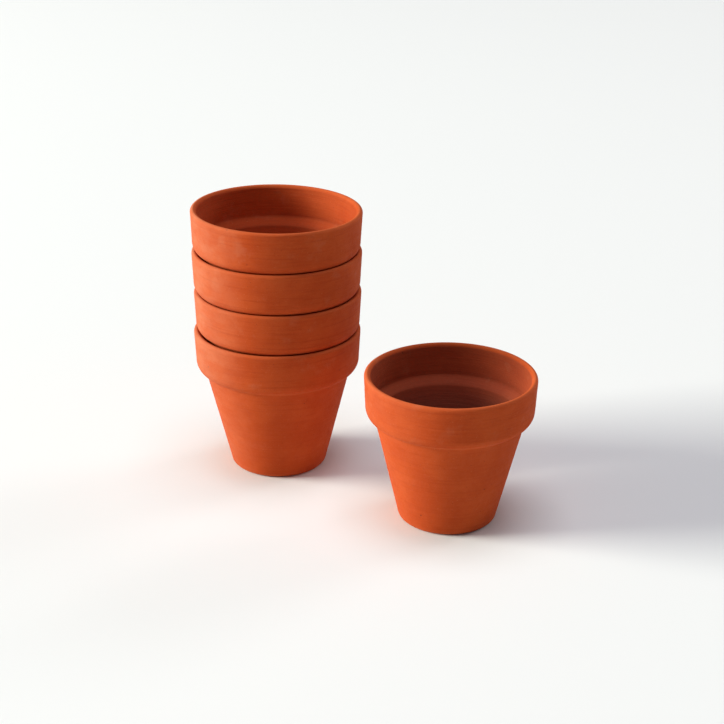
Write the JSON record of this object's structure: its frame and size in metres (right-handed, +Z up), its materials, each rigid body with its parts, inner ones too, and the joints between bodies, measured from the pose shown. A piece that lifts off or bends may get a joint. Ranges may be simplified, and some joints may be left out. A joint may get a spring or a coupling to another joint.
{
  "type": "terracotta pot",
  "caption": "Nesting set of tapered terracotta plant pots with deep collars and drain holes, each hung by its shoulder in the lip below, and another standing beside the stack.",
  "frame": {"origin": "centre of the bottom stacked pot's foot, on its drain hole's axis", "axes": "+Z up along the bottom pot's axis; the loose pot stands in front and to the right, towards +X and -Y"},
  "size_m": [0.2598, 0.2211, 0.2105],
  "materials": {
    "terracotta": "matte, unglazed, slightly rough"
  },
  "bodies": {
    "stack_pot_1": {"stack_pot_1": "terracotta"},
    "stack_pot_2": {"stack_pot_2": "terracotta"},
    "stack_pot_3": {"stack_pot_3": "terracotta"},
    "stack_pot_4": {"stack_pot_4": "terracotta"},
    "loose_pot": {"loose_pot": "terracotta"}
  },
  "joints": [
    {"name": "lift_pot_2", "type": "slide", "parent": "stack_pot_1", "child": "stack_pot_2", "axis": [0, 0, 1], "range_m": [0, 0.1]},
    {"name": "lift_pot_3", "type": "slide", "parent": "stack_pot_2", "child": "stack_pot_3", "axis": [0, 0, 1], "range_m": [0, 0.1]},
    {"name": "lift_pot_4", "type": "slide", "parent": "stack_pot_3", "child": "stack_pot_4", "axis": [0, 0, 1], "range_m": [0, 0.1]},
    {"name": "lift_loose_pot", "type": "slide", "parent": "stack_pot_1", "child": "loose_pot", "axis": [0, 0, 1], "range_m": [0, 0.1]}
  ]
}
